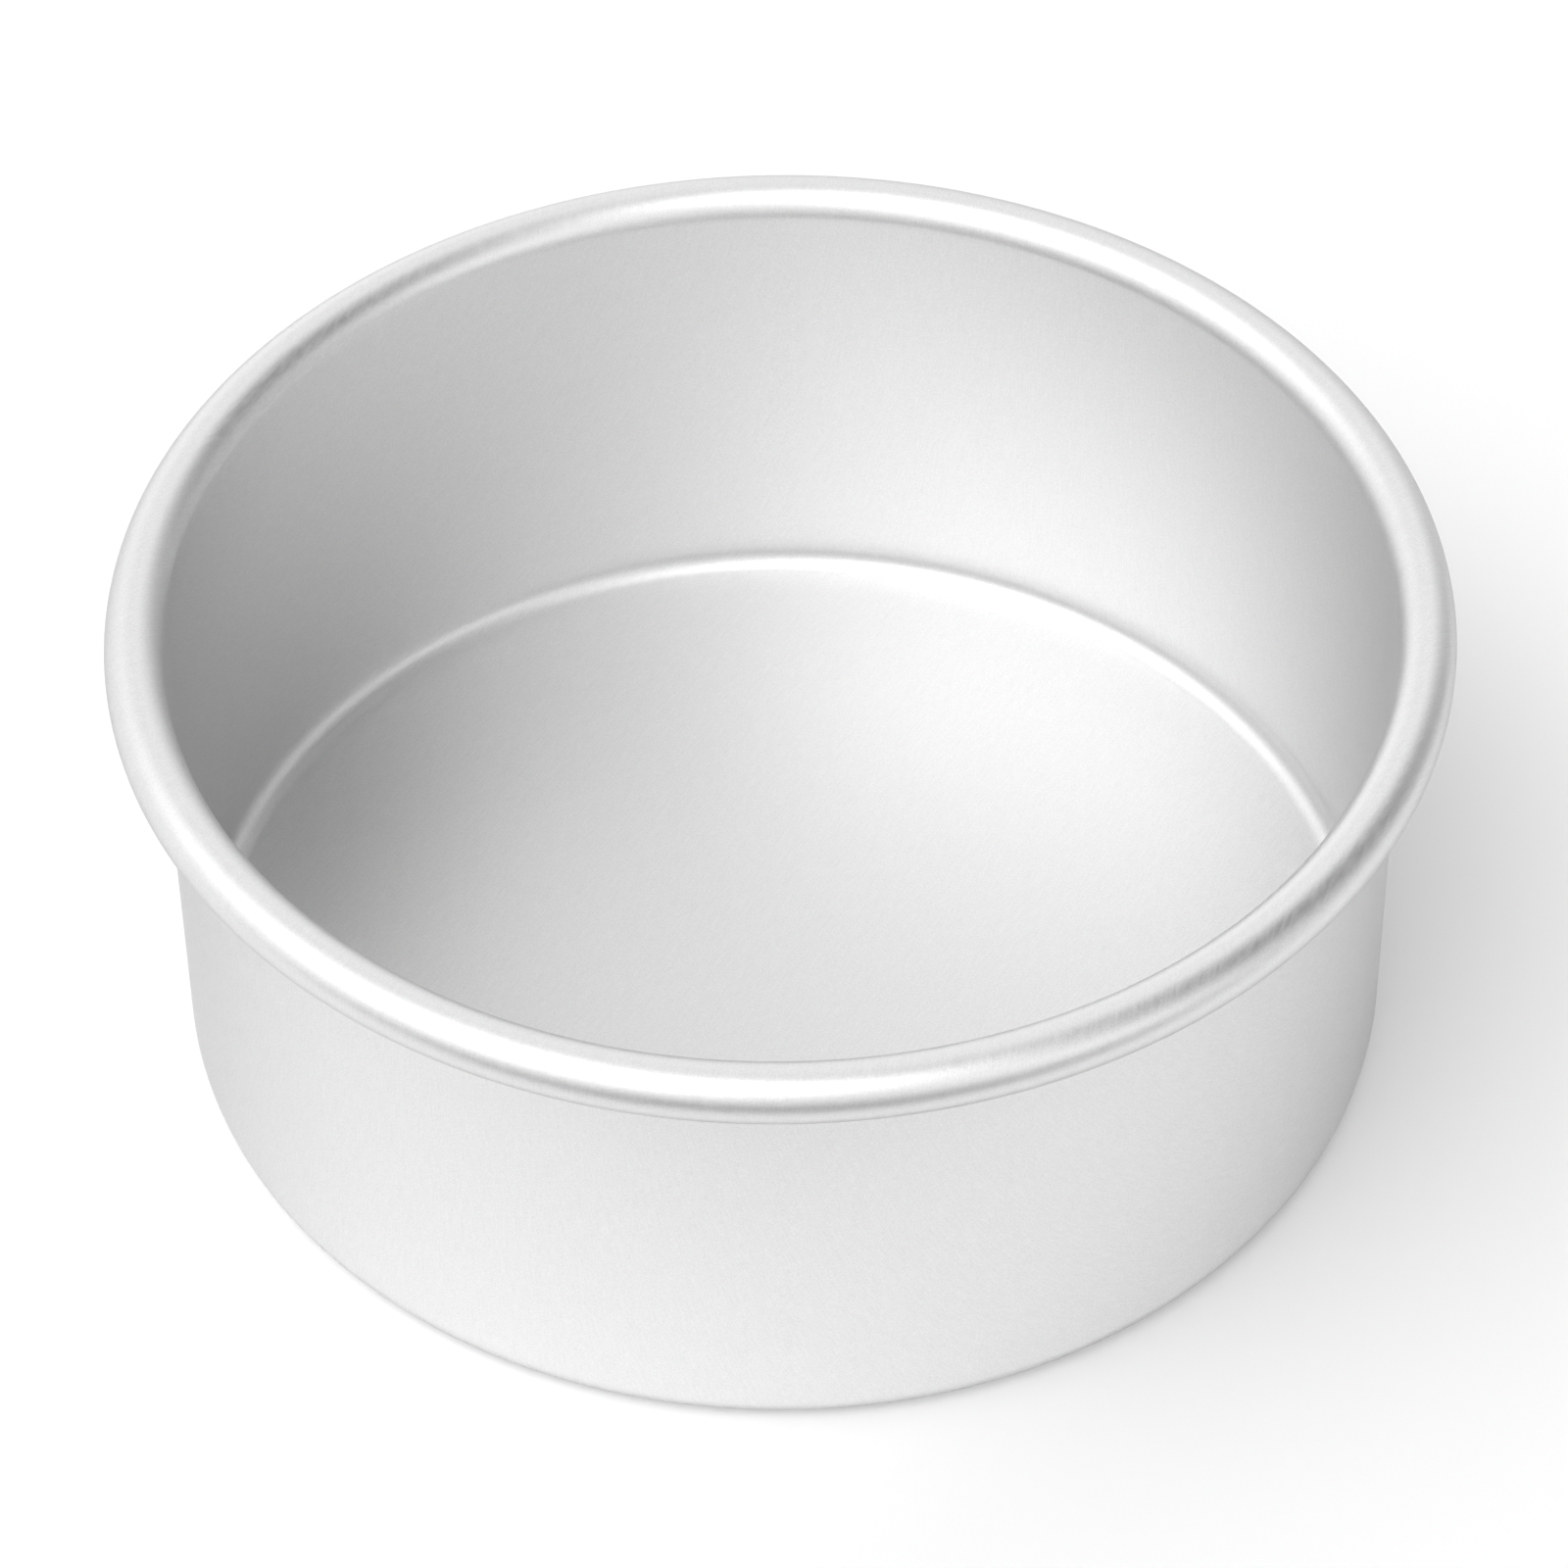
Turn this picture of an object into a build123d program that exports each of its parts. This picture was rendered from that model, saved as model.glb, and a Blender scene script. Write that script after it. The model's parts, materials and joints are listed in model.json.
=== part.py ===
from build123d import *
import os
from math import acos, cos, degrees, radians, sin

# Round cake tin, drawn from one disc of aluminium sheet. The axis is Z and the
# origin is the centre of the underside, so the tin stands on the plane z = 0.
# Every length is in millimetres.

# Driving sizes
inner_diameter = 177.8  # across the inside of the straight wall, a 7 inch tin
inner_depth = 76.2  # inside floor to the top of the rim, a 3 inch tin
sheet = 1.2  # thickness of the metal, the same all over
corner_radius = 3.5  # inside radius where the base turns up into the wall
rim_diameter = 8.4  # across the hollow rolled rim
curl_gap = 0.4  # between the free edge of the curled sheet and the wall

# Sizes that follow from them
inner_radius = inner_diameter / 2
overall_height = inner_depth + sheet
outer_radius = inner_radius + sheet
foot_radius = corner_radius + sheet
rim_radius = rim_diameter / 2
curl_radius = rim_radius - sheet
rim_centre_r = inner_radius + rim_radius
rim_centre_z = overall_height - rim_radius

# The sheet leaves the wall at 180 degrees of the rim's circle and rolls out and
# over the top. It stops under the rim, where its skin is curl_gap from the wall.
roll_start = 180.0
edge_from_wall = degrees(acos((curl_radius - curl_gap) / rim_radius))
roll_turn = 360.0 - edge_from_wall
roll_end = roll_start - roll_turn


def on_rim(radius, angle):
    """The point at an angle on a circle about the rim's centre, in the r-z plane."""
    r = rim_centre_r + radius * cos(radians(angle))
    z = rim_centre_z + radius * sin(radians(angle))
    return (r, z)


def shell_section():
    """Half of the tin cut down its axis: a strip of sheet from the middle of the
    base, round the corner, up the wall and round the rolled rim."""
    foot_centre = (inner_radius - corner_radius, foot_radius)
    rim_centre = (rim_centre_r, rim_centre_z)

    # the skin that faces the table, the room and the hollow of the rim
    underside = Line((0, 0), (foot_centre[0], 0))
    foot = CenterArc(foot_centre, foot_radius, -90, 90)
    wall_outside = Line((outer_radius, foot_radius), (outer_radius, rim_centre_z))
    rim_hollow = CenterArc(rim_centre, curl_radius, roll_start, -roll_turn)

    # the cut edge of the sheet, tucked in under the rim
    free_edge = Line(on_rim(curl_radius, roll_end), on_rim(rim_radius, roll_end))

    # the skin that shows from above and holds the cake
    rim_skin = CenterArc(rim_centre, rim_radius, roll_end, roll_turn)
    wall_inside = Line((inner_radius, rim_centre_z), (inner_radius, foot_radius))
    corner = CenterArc(foot_centre, corner_radius, 0, -90)
    floor = Line((foot_centre[0], sheet), (0, sheet))
    axis = Line((0, sheet), (0, 0))

    strip = Curve() + [underside, foot, wall_outside, rim_hollow, free_edge]
    strip += [rim_skin, wall_inside, corner, floor, axis]
    return make_face(Plane.XZ * strip)


def tin_shell():
    """The whole tin: the section turned once about the axis."""
    return revolve(shell_section(), Axis.Z, 360)


os.makedirs("parts", exist_ok=True)
shell = tin_shell()
export_step(shell, "parts/tin_shell.step")

size = shell.bounding_box().size
print("tin_shell", round(size.X, 3), "x", round(size.Y, 3), "x", round(size.Z, 3), "mm")
print("volume of the metal", round(shell.volume), "mm3")
print("the roll turns", round(roll_turn, 1), "degrees round the rim")
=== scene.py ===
# %% [markdown]
# A round cake tin in Blender
#
# The tin is one disc of aluminium sheet, drawn into a straight-sided cup and rolled outwards at the
# top, then anodised to a pale satin grey. There is no seam, no rivet and no loose base, so its looks
# rest on three things: a true section, a finish that shows how the sheet was rolled before it was
# drawn, and one big soft light from the front left.
#
# The CAD model is the frame: it fixes where the tin is and how large it is, and nothing below moves
# or resizes it. All lengths are in metres.

import json
from math import acos, cos, degrees, pi, radians, sin

import bpy
import numpy as np
from mathutils import Matrix, Vector


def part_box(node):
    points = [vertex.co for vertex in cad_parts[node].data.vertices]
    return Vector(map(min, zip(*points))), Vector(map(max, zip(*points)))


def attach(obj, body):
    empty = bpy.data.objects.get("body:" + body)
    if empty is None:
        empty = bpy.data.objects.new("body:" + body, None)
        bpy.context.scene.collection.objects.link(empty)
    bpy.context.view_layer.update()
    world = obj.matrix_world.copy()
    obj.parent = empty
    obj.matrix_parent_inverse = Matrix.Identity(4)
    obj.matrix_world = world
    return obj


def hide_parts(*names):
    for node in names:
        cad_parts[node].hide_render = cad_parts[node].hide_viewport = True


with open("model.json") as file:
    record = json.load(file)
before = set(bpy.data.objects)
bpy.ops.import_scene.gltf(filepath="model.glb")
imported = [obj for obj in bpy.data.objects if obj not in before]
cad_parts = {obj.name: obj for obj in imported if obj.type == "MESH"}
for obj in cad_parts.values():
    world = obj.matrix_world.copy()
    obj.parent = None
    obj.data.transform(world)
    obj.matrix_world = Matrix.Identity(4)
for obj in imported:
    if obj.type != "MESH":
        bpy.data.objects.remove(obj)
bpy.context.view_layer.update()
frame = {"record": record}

# %% [markdown]
# Which sizes the tin is built from
#
# The overall size comes from the CAD node's box, so the two can't drift apart. The thickness of the
# sheet is the height of the inside floor, which the record gives as a mount. The small radii are
# named here once, as a toolmaker would write them on the drawing of the punch and the curling die.

# %% Sizes of the tin
low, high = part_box("tin_shell")
mounts = {mount["name"]: mount for mount in frame["record"]["mounts"]}
sheet = mounts["inner_floor"]["pos_m"][2]
rim_radius = 0.0042
corner_radius = 0.0035
curl_gap = 0.0004
cut_edge_round = 0.00012

overall_height = high.z - low.z
inner_radius = high.x - 2 * rim_radius
outer_radius = inner_radius + sheet
foot_radius = corner_radius + sheet
curl_radius = rim_radius - sheet
rim_centre = (inner_radius + rim_radius, overall_height - rim_radius)
foot_centre = (inner_radius - corner_radius, foot_radius)
print("inside radius", round(inner_radius, 5), "height", round(overall_height, 5), "sheet", sheet)

# %% [markdown]
# Where the camera stands
#
# The photograph looks down into the tin at about 45 degrees. With a tin of known size, the ellipses of
# its rim and base say where the camera was, how long its lens is and how it leans. A long lens from
# 0.90 m away keeps the far rim almost as wide as the near one.

# %% Camera
camera_place = Vector((0.0, -0.6377, 0.6741))
camera_dip = radians(44.902)
camera_turn = radians(0.025)
camera_lean = radians(-0.683)
lens_mm = 139.4
sensor_mm = 36.0


def camera_axes(dip, turn, lean):
    """Right, up and backward axes of a camera. Forward is turned from +Y towards +X, then dipped
    below the horizon. The picture's right and up are then turned about it by the lean."""
    forward = Vector((sin(turn) * cos(dip), cos(turn) * cos(dip), -sin(dip)))
    level = forward.cross(Vector((0, 0, 1))).normalized()
    above = level.cross(forward)
    right = cos(lean) * level + sin(lean) * above
    up = cos(lean) * above - sin(lean) * level
    return right, up, -forward


lens = bpy.data.cameras.new("camera")
lens.lens = lens_mm
lens.sensor_width = sensor_mm
camera = bpy.data.objects.new("camera", lens)
turned = Matrix(camera_axes(camera_dip, camera_turn, camera_lean)).transposed().to_4x4()
camera.matrix_world = Matrix.Translation(camera_place) @ turned
bpy.context.scene.collection.objects.link(camera)
bpy.context.scene.camera = camera
print("camera", round((camera_place - (low + high) / 2).length, 3), "m from the tin")

# %% [markdown]
# How the section is drawn
#
# Cut the tin in half and the metal is a thin strip: out along the base, round the small corner, up
# the straight wall and round the rolled rim, where its cut edge hides underneath. The strip is
# walked once, from the middle of the underside out to the cut edge and back over the rim to the
# middle of the inside floor. Straight runs get their rings close together at both ends, so that the
# smooth shading of a corner doesn't leak into the flat beside it. The rim gets the most rings,
# because it shows the sharpest highlights.

# %% Walking along the section
base_rings = 12
corner_rings = 16
wall_rings = 14
hollow_rings = 36
rim_rings = 72


def arc(centre, radius, start, end, count):
    """Points of a circle in the r-z plane: the centre plus the radius times (cos, sin) of an angle
    that goes in even steps from start to end, in degrees."""
    angle = np.radians(np.linspace(start, end, count))
    return np.column_stack([centre[0] + radius * np.cos(angle), centre[1] + radius * np.sin(angle)])


def run(first, last, count):
    """Points of a straight line from first to last. The share of the way is (1 - cos t) / 2 with t in
    even steps from 0 to pi, so the points draw together towards both ends."""
    share = (1 - np.cos(np.linspace(0, pi, count))) / 2
    return np.outer(1 - share, first) + np.outer(share, last)


roll_end = 180 - (360 - degrees(acos((curl_radius - curl_gap) / rim_radius)))
edge_turn_in = degrees(cut_edge_round / curl_radius)
edge_turn_out = degrees(cut_edge_round / rim_radius)


def on_rim(radius, angle):
    """The point at an angle, in degrees, on a circle about the middle of the rolled rim."""
    return (rim_centre[0] + radius * cos(radians(angle)), rim_centre[1] + radius * sin(radians(angle)))


outside = np.concatenate([
    run((0, 0), (foot_centre[0], 0), base_rings),
    arc(foot_centre, foot_radius, -90, 0, corner_rings)[1:],
    run((outer_radius, foot_radius), (outer_radius, rim_centre[1]), wall_rings)[1:],
    arc(rim_centre, curl_radius, 180, roll_end + edge_turn_in, hollow_rings)[1:],
])
cut_edge = np.array([
    on_rim(curl_radius + cut_edge_round, roll_end),
    on_rim(rim_radius - cut_edge_round, roll_end),
])
inside = np.concatenate([
    arc(rim_centre, rim_radius, roll_end + edge_turn_out, 180, rim_rings),
    run((inner_radius, rim_centre[1]), (inner_radius, foot_radius), wall_rings)[1:],
    arc(foot_centre, corner_radius, 0, -90, corner_rings)[1:],
    run((foot_centre[0], sheet), (0, sheet), base_rings)[1:],
])
section = np.concatenate([outside, cut_edge, inside])
print("section", len(section), "points, wall", round(outer_radius - inner_radius, 5), "thick")

# %% [markdown]
# Where each point was on the flat disc
#
# The sheet was rolled flat at the mill, and rolling leaves faint straight lines all in one
# direction. Drawing the cup bends that pattern with the metal: the lines are straight across the
# base, upright on two opposite sides of the wall and almost level on the other two. Drawing keeps
# the area of the sheet nearly the same, so a point of the tin lay as far from the middle of the disc
# as the radius of a circle with the area of metal that lies inside it. A UV map keeps that place, in
# metres, with V along the rolling direction.

# %% Places on the flat disc
def disc_radius(skin):
    """How far from the middle of the flat disc each point of a skin lay, for a skin that starts on
    the axis. The area inside is the sum of 2 pi r times the step along the skin, and the
    radius is the square root of area / pi."""
    step = np.hypot(*np.diff(skin, axis=0).T)
    mean_r = (skin[1:, 0] + skin[:-1, 0]) / 2
    return np.sqrt(np.concatenate([[0], np.cumsum(2 * mean_r * step)]))


outside_disc = disc_radius(outside)
inside_disc = disc_radius(inside[::-1])[::-1]
cut_edge_disc = np.linspace(outside_disc[-1], inside_disc[0], len(cut_edge) + 2)[1:-1]
section_disc = np.concatenate([outside_disc, cut_edge_disc, inside_disc])
print("the flat disc was", round(2 * outside_disc[-1], 4), "m across")

# %% [markdown]
# How the section becomes a tin
#
# A lathe modifier could turn the section, but one formula does it, gives the UV map at the same
# time and leaves a single vertex at each pole. The outer product of the radii with the cosines and
# sines of the angles places all rings at once.

# %% Turning the section
around = 384
rolling_direction = radians(60)


def turned_surface(section, disc, around, direction):
    """Points and UVs of a surface of revolution. Point (i, j) is r_i (cos t_j, sin t_j) and z_i, with
    t_j in even steps of the turn. Its UV is the same with the radius on the disc in place of r_i,
    turned so that V points in the rolling direction. The first and last rings are single points."""
    turn = np.linspace(0, 2 * pi, around, endpoint=False)
    r, z = section[1:-1].T
    x = np.outer(r, np.cos(turn))
    y = np.outer(r, np.sin(turn))
    rings = np.stack([x, y, np.outer(z, np.ones(around))], -1)
    across = -np.outer(disc[1:-1], np.sin(turn - direction))
    along = np.outer(disc[1:-1], np.cos(turn - direction))
    flat = np.stack([across, along], -1)
    poles = np.array([[0, 0, section[0, 1]], [0, 0, section[-1, 1]]])
    points = np.concatenate([poles[:1], rings.reshape(-1, 3), poles[1:]])
    places = np.concatenate([np.zeros((1, 2)), flat.reshape(-1, 2), np.zeros((1, 2))])
    return points, places


def turned_faces(rings, around):
    """Faces of the surface. Ring i starts at vertex 1 + i * around. Each quad joins a step of one
    ring to the same step of the next, and a fan of triangles closes each pole."""
    j = np.arange(around)
    k = (j + 1) % around
    start = 1 + np.arange(rings - 1)[:, None] * around
    quads = np.stack([start + j, start + k, start + around + k, start + around + j], -1).reshape(-1, 4)
    last_ring = 1 + (rings - 1) * around
    first_fan = np.stack([np.zeros_like(j), 1 + k, 1 + j], -1)
    last_fan = np.stack([last_ring + j, last_ring + k, np.full_like(j, last_ring + around)], -1)
    return quads.tolist() + first_fan.tolist() + last_fan.tolist()


points, places = turned_surface(section, section_disc, around, rolling_direction)
faces = turned_faces(len(section) - 2, around)
mesh = bpy.data.meshes.new("tin")
mesh.from_pydata(points, [], faces)
mesh.shade_smooth()

corner_vertex = np.empty(len(mesh.loops), dtype=np.int32)
mesh.loops.foreach_get("vertex_index", corner_vertex)
flat_map = mesh.uv_layers.new(name="flat_disc")
flat_map.uv.foreach_set("vector", places[corner_vertex].astype(np.float32).ravel())
mesh.update()

tin = bpy.data.objects.new("cake_tin", mesh)
bpy.context.scene.collection.objects.link(tin)
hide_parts("tin_shell")
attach(tin, "root")
print("tin", len(points), "points,", len(mesh.polygons), "faces")

# %% [markdown]
# How the finish is built
#
# Satin anodised aluminium is bare metal under a thin skin of its own oxide, etched dull before it
# was anodised. It has no colour of its own and mirrors the room as a soft blur. Three faint
# effects lie on it, each a node group with named inputs: the etch, a fine even sparkle in all
# directions; the rolling lines, noise stretched along the V of the UV map; and the orange peel, a
# soft mottle that grows up the wall, where drawing has stretched the sheet the most.

# %% Node helpers
grain_size = 0.00025
line_width = 0.0003
line_length = 0.004
spot_size = 0.0014


def new_group(name, inputs, outputs):
    """A shader node group with float inputs and outputs of the given names."""
    group = bpy.data.node_groups.new(name, "ShaderNodeTree")
    for title, value in inputs.items():
        socket = group.interface.new_socket(title, in_out="INPUT", socket_type="NodeSocketFloat")
        socket.default_value = value
    for title in outputs:
        group.interface.new_socket(title, in_out="OUTPUT", socket_type="NodeSocketFloat")
    way_in = group.nodes.new("NodeGroupInput")
    way_out = group.nodes.new("NodeGroupOutput")
    return group, way_in, way_out


def add(tree, kind, settings=None, **values):
    """A node of one kind with its settings, and values or links for its inputs by name."""
    node = tree.nodes.new("ShaderNode" + kind)
    for title, value in (settings or {}).items():
        setattr(node, title, value)
    for title, value in values.items():
        socket = node.inputs[title.replace("_", " ")]
        if isinstance(value, bpy.types.NodeSocket):
            tree.links.new(value, socket)
        else:
            socket.default_value = value
    return node


def maths(tree, operation, *values):
    """The result of one Math node on numbers or sockets."""
    node = tree.nodes.new("ShaderNodeMath")
    node.operation = operation
    for socket, value in zip(node.inputs, values):
        if isinstance(value, bpy.types.NodeSocket):
            tree.links.new(value, socket)
        else:
            socket.default_value = value
    return node.outputs["Value"]


# %% The etch
etch, way_in, way_out = new_group("etch", {"Grain Size": grain_size}, ["Height"])
place = add(etch, "TexCoord").outputs["Object"]
per_metre = maths(etch, "DIVIDE", 1.0, way_in.outputs["Grain Size"])
sparkle = add(etch, "TexNoise", {"noise_dimensions": "3D"}, Vector=place, Scale=per_metre, Detail=2.0)
etch.links.new(sparkle.outputs["Fac"], way_out.inputs["Height"])
print("etch", len(etch.nodes), "nodes")

# %% The rolling lines
line_inputs = {"Line Width": line_width, "Line Length": line_length}
rolled, way_in, way_out = new_group("rolling_lines", line_inputs, ["Height"])
flat_place = add(rolled, "UVMap", {"uv_map": "flat_disc"}).outputs["UV"]
split = add(rolled, "SeparateXYZ", Vector=flat_place)
across = maths(rolled, "DIVIDE", split.outputs["X"], way_in.outputs["Line Width"])
along = maths(rolled, "DIVIDE", split.outputs["Y"], way_in.outputs["Line Length"])
stretched = add(rolled, "CombineXYZ", X=across, Y=along).outputs["Vector"]
lines = add(rolled, "TexNoise", {"noise_dimensions": "2D"}, Vector=stretched, Scale=1.0, Detail=3.0)
rolled.links.new(lines.outputs["Fac"], way_out.inputs["Height"])
print("rolling lines", len(rolled.nodes), "nodes")

# %% The orange peel
peel_inputs = {"Spot Size": spot_size, "Wall Height": overall_height}
peel, way_in, way_out = new_group("orange_peel", peel_inputs, ["Height"])
place = add(peel, "TexCoord").outputs["Object"]
per_metre = maths(peel, "DIVIDE", 1.0, way_in.outputs["Spot Size"])
spots = add(peel, "TexNoise", {"noise_dimensions": "3D"}, Vector=place, Scale=per_metre, Detail=1.0)
up = add(peel, "SeparateXYZ", Vector=place).outputs["Z"]
stretch = maths(peel, "SQRT", maths(peel, "DIVIDE", up, way_in.outputs["Wall Height"]))
peel.links.new(maths(peel, "MULTIPLY", spots.outputs["Fac"], stretch), way_out.inputs["Height"])
print("orange peel", len(peel.nodes), "nodes")

# %% [markdown]
# How the metal is put together
#
# A roughness near 0.47 gives the soft blur. A mirror gets brighter towards its edge, but this finish
# gets darker there: the rough oxide shades itself when it is seen at a slant. For a metal, the
# Principled shader's Specular Tint is what it mirrors at 82 degrees, so a low grey does that. The
# three heights are added up as depths in metres, one or two hundredths of a millimetre over the full
# range of each noise. Most of the grain that shows is tone, not relief: the etch and the rolling lines
# together make the grey a little lighter and darker, and the lines also vary how dull it is.

# %% The anodised metal
metal_grey = 0.87
slant_grey = 0.4
grey_spread = 0.045
line_share = 0.3
dull_least = 0.44
dull_most = 0.5
lines_low = 0.3
lines_high = 0.7
grain_low = 0.35
grain_high = 0.65
etch_depth = 0.00002
line_depth = 0.00001
peel_depth = 0.00002


def grouped(tree, group, **values):
    """A node that uses a group, with this material's own values for its inputs."""
    node = tree.nodes.new("ShaderNodeGroup")
    node.node_tree = group
    for title, value in values.items():
        node.inputs[title.replace("_", " ")].default_value = value
    return node.outputs["Height"]


metal = bpy.data.materials.new("anodised_aluminium")
metal.use_nodes = True
tree = metal.node_tree
satin = tree.nodes["Principled BSDF"]
satin.inputs["Metallic"].default_value = 1.0
satin.inputs["Specular Tint"].default_value = (slant_grey, slant_grey, slant_grey, 1.0)

etch_here = grouped(tree, etch, Grain_Size=grain_size)
lines_here = grouped(tree, rolled, Line_Width=line_width, Line_Length=line_length)
peel_here = grouped(tree, peel, Spot_Size=spot_size, Wall_Height=overall_height)
relief = maths(tree, "MULTIPLY", etch_here, etch_depth)
relief = maths(tree, "ADD", relief, maths(tree, "MULTIPLY", lines_here, line_depth))
relief = maths(tree, "ADD", relief, maths(tree, "MULTIPLY", peel_here, peel_depth))
bump = add(tree, "Bump", Height=relief, Strength=1.0, Distance=1.0)
tree.links.new(bump.outputs["Normal"], satin.inputs["Normal"])

# A noise seldom leaves the middle of its range, so the middle alone is spread over the values below.
dull = add(tree, "MapRange", Value=lines_here, From_Min=lines_low, From_Max=lines_high,
           To_Min=dull_least, To_Max=dull_most).outputs["Result"]
tree.links.new(dull, satin.inputs["Roughness"])
grain = maths(tree, "MULTIPLY", etch_here, 1 - line_share)
grain = maths(tree, "ADD", grain, maths(tree, "MULTIPLY", lines_here, line_share))
tone = add(tree, "MapRange", Value=grain, From_Min=grain_low, From_Max=grain_high,
           To_Min=metal_grey - grey_spread, To_Max=metal_grey + grey_spread).outputs["Result"]
grey = add(tree, "CombineColor", Red=tone, Green=tone, Blue=tone)
tree.links.new(grey.outputs["Color"], satin.inputs["Base Color"])
mesh.materials.append(metal)
print("metal", len(tree.nodes), "nodes")

# %% [markdown]
# What the tin stands on
#
# The tin stands on a sheet of white paper, which carries the soft shadow that tells the eye that it
# stands there. A dark line runs along the front of the rolled rim: it mirrors the floor far in
# front, which is coloured dark grey. So the floor's colour falls from white at 0.16 m in front of
# the tin's middle to dark grey at 0.30 m, out of the picture, only for the rim to mirror.

# %% Floor
floor_half = 3.0
paper_white = 0.94
# Out of the picture, the floor from 0.30 m in front is dark grey, for the rim to mirror as a dark
# line.
front_dark_grey = 0.05
paper_ends = -0.16
front_dark_begins = -0.30
floor_mesh = bpy.data.meshes.new("floor")
corners = np.array([(-1, -1, 0), (1, -1, 0), (1, 1, 0), (-1, 1, 0)]) * floor_half
floor_mesh.from_pydata(corners, [], [(0, 1, 2, 3)])
floor = bpy.data.objects.new("floor", floor_mesh)
bpy.context.scene.collection.objects.link(floor)
matt = bpy.data.materials.new("matt_floor")
matt.use_nodes = True
floor_tree = matt.node_tree
paint = floor_tree.nodes["Principled BSDF"]
floor_place = add(floor_tree, "TexCoord").outputs["Object"]
how_far = add(floor_tree, "SeparateXYZ", Vector=floor_place).outputs["Y"]
# The floor darkens towards the front, out of the picture; the rim mirrors the dark part.
shade = add(floor_tree, "MapRange", {"interpolation_type": "SMOOTHSTEP"}, Value=how_far,
            From_Min=front_dark_begins, From_Max=paper_ends,
            To_Min=front_dark_grey, To_Max=paper_white).outputs["Result"]
paper = add(floor_tree, "CombineColor", Red=shade, Green=shade, Blue=shade)
floor_tree.links.new(paper.outputs["Color"], paint.inputs["Base Color"])
paint.inputs["Roughness"].default_value = 1.0
paint.inputs["Specular IOR Level"].default_value = 0.0
floor_mesh.materials.append(matt)
print("floor", 2 * floor_half, "m across, paper to", -paper_ends, "m in front of the middle")

# %% [markdown]
# How the tin is lit
#
# Metal shows its surroundings more than its own colour, so the light is the picture. The room is
# plain white all round. A large soft lamp with a wide glow round it stands high in front, a little to
# the left, with a second one on the left, weaker patches behind the tin and a low strip in front on
# the right. The dark patches are the unlit right side of the room, which gives the inside of the tin
# its dark left wall, a part of the ceiling, and the place where the camera stands. Each patch is one
# smooth formula, so no shadow has a hard edge.

# %% Studio
world = bpy.data.worlds.new("studio")
bpy.context.scene.world = world
world.use_nodes = True
sky = world.node_tree
background = sky.nodes["Background"]
background.inputs["Color"].default_value = (1, 1, 1, 1)
direction = add(sky, "TexCoord").outputs["Generated"]


def patch(azimuth, height, sharpness, strength):
    """A soft round patch in the surroundings, bright or, with a negative strength, dark: strength
    times e to the power of sharpness times (the cosine of the angle to its middle - 1). Azimuth
    0 is on the right of the picture, 90 behind the tin and 270 in front of it."""
    azimuth, height = radians(azimuth), radians(height)
    middle = (cos(azimuth) * cos(height), sin(azimuth) * cos(height), sin(height))
    cosine = sky.nodes.new("ShaderNodeVectorMath")
    cosine.operation = "DOT_PRODUCT"
    sky.links.new(direction, cosine.inputs[0])
    cosine.inputs[1].default_value = middle
    falling = maths(sky, "MULTIPLY", maths(sky, "SUBTRACT", cosine.outputs["Value"], 1.0), sharpness)
    return maths(sky, "MULTIPLY", maths(sky, "EXPONENT", falling), strength)


white_room = 0.86
darkest = 0.02
main_lamp = patch(249, 64, 15, 2.2)
main_glow = patch(249, 64, 6, 1.4)
left_lamp = patch(187, 52, 20, 1.35)
behind_high = patch(64, 53, 20, 1.1)
behind_low = patch(106, 5, 20, 0.9)
behind_right = patch(50, 25, 12, 0.4)
right_strip = patch(319, 22, 25, 1.0)
camera_shade = patch(270, 45, 12, -0.7)
ceiling_shade = patch(230, 80, 15, -0.9)
right_shade = patch(14, 60, 4, -1.2)
right_low_shade = patch(30, 5, 10, -0.4)

lamps = [main_lamp, main_glow, left_lamp, behind_high, behind_low, behind_right, right_strip]
shades = [camera_shade, ceiling_shade, right_shade, right_low_shade]
light = white_room
for part in lamps + shades:
    light = maths(sky, "ADD", light, part)
sky.links.new(maths(sky, "MAXIMUM", light, darkest), background.inputs["Strength"])

bpy.context.scene.view_settings.view_transform = "Standard"
print("light", len(lamps), "bright patches and", len(shades), "dark ones")
